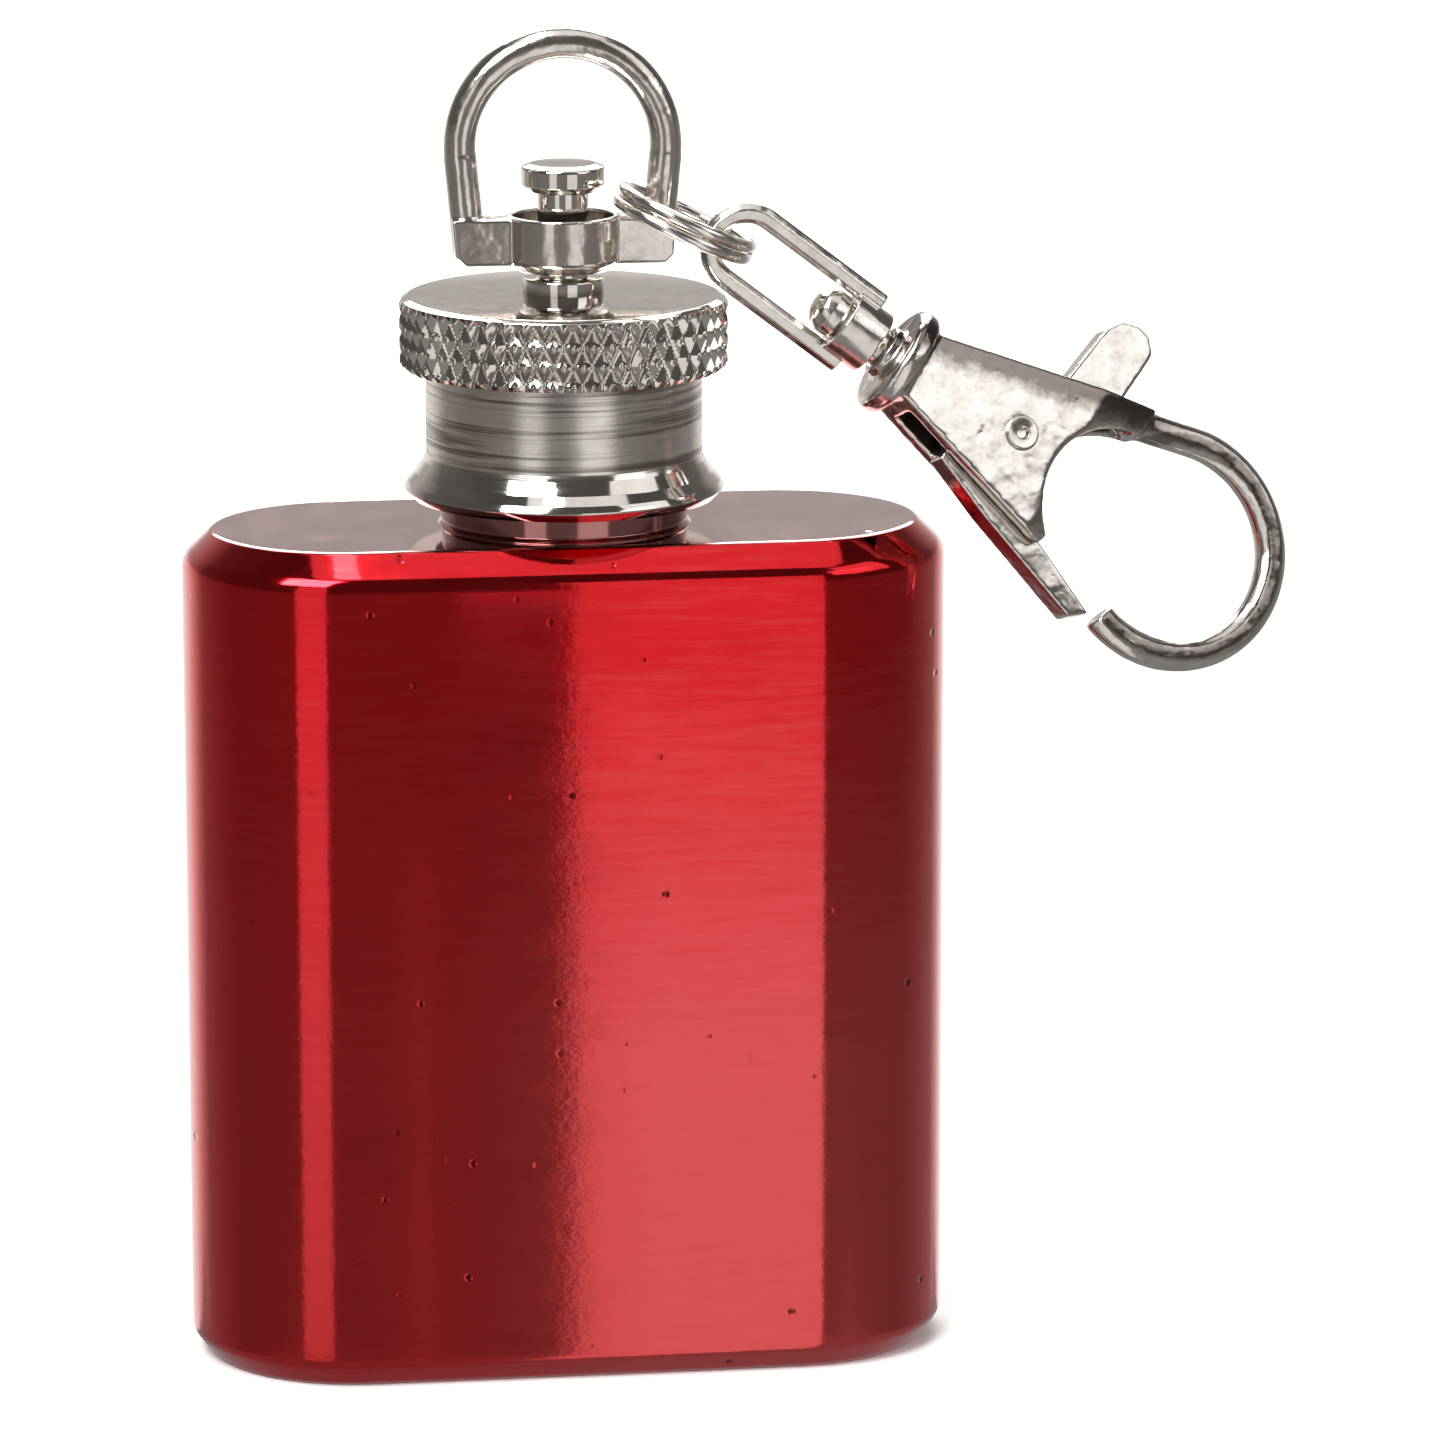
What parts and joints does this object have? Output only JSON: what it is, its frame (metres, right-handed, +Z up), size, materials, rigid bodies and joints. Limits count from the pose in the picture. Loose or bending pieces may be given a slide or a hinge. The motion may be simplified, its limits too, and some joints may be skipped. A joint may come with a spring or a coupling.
{
  "type": "miniature hip flask",
  "caption": "Pocket hip flask with a lacquered round-ended body, a knurled screw cap, and a swivelling bail, split ring and lobster clasp for keys.",
  "frame": {"origin": "centre of the flask's base, on the surface it stands on", "axes": "+Z up along the neck; broad front face towards -Y; the clasp lies towards +X"},
  "size_m": [0.0646, 0.0192, 0.0781],
  "materials": {
    "red_lacquer": "glossy clear red over bright steel",
    "turned_steel": "turned and polished",
    "nickel": "bright nickel plate",
    "spring_steel": "drawn wire",
    "liner": "moulded",
    "seal": "matt"
  },
  "bodies": {
    "flask": {"body_shell": "red_lacquer", "shoulder_plate": "red_lacquer", "base_plate": "red_lacquer", "neck": "red_lacquer"},
    "seal": {"seal_washer": "seal"},
    "cap": {"cap_shell": "turned_steel", "cap_liner": "liner", "cap_stud": "turned_steel"},
    "bail": {"bail": "nickel"},
    "ring": {"split_ring": "nickel"},
    "loop": {"swivel_loop": "nickel"},
    "clasp": {"clasp_body": "nickel", "swivel_pin": "nickel", "gate_rivet": "nickel", "gate_spring": "spring_steel"},
    "gate": {"gate": "nickel"}
  },
  "joints": [
    {"name": "cap_lift", "type": "slide", "parent": "flask", "child": "seal", "axis": [0, 0, 1], "range_m": [0, 0.0048]},
    {"name": "cap_turn", "type": "hinge", "parent": "seal", "child": "cap", "pos_m": [0, 0, 0.0607], "axis": [0, 0, 1], "range_deg": [0, 1084]},
    {"name": "bail_swivel", "type": "hinge", "parent": "cap", "child": "bail", "pos_m": [0, 0, 0.06435], "axis": [0, 0, 1], "continuous": true},
    {"name": "ring_swing", "type": "hinge", "parent": "bail", "child": "ring", "pos_m": [0.0032, -0.00175, 0.06845], "axis": [0, -1, 0], "range_deg": [0, 40]},
    {"name": "loop_swing", "type": "hinge", "parent": "ring", "child": "loop", "pos_m": [0.00998, -0.00375, 0.06532], "axis": [0, -1, 0], "range_deg": [0, 60]},
    {"name": "clasp_swivel", "type": "hinge", "parent": "loop", "child": "clasp", "pos_m": [0.01897, -0.00375, 0.05873], "axis": [0.7934, 0, -0.6088], "range_deg": [-100, 170]},
    {"name": "gate_open", "type": "hinge", "parent": "clasp", "child": "gate", "pos_m": [0.02543, -0.00365, 0.05404], "axis": [0.2573, -0.9063, 0.3353], "range_deg": [0, 28], "stiffness_Nm_per_rad": 0.01, "springref_deg": -20.05}
  ],
  "couplings": [
    {"joint": "cap_turn", "follows": "cap_lift", "rad_per_m": 3927}
  ]
}
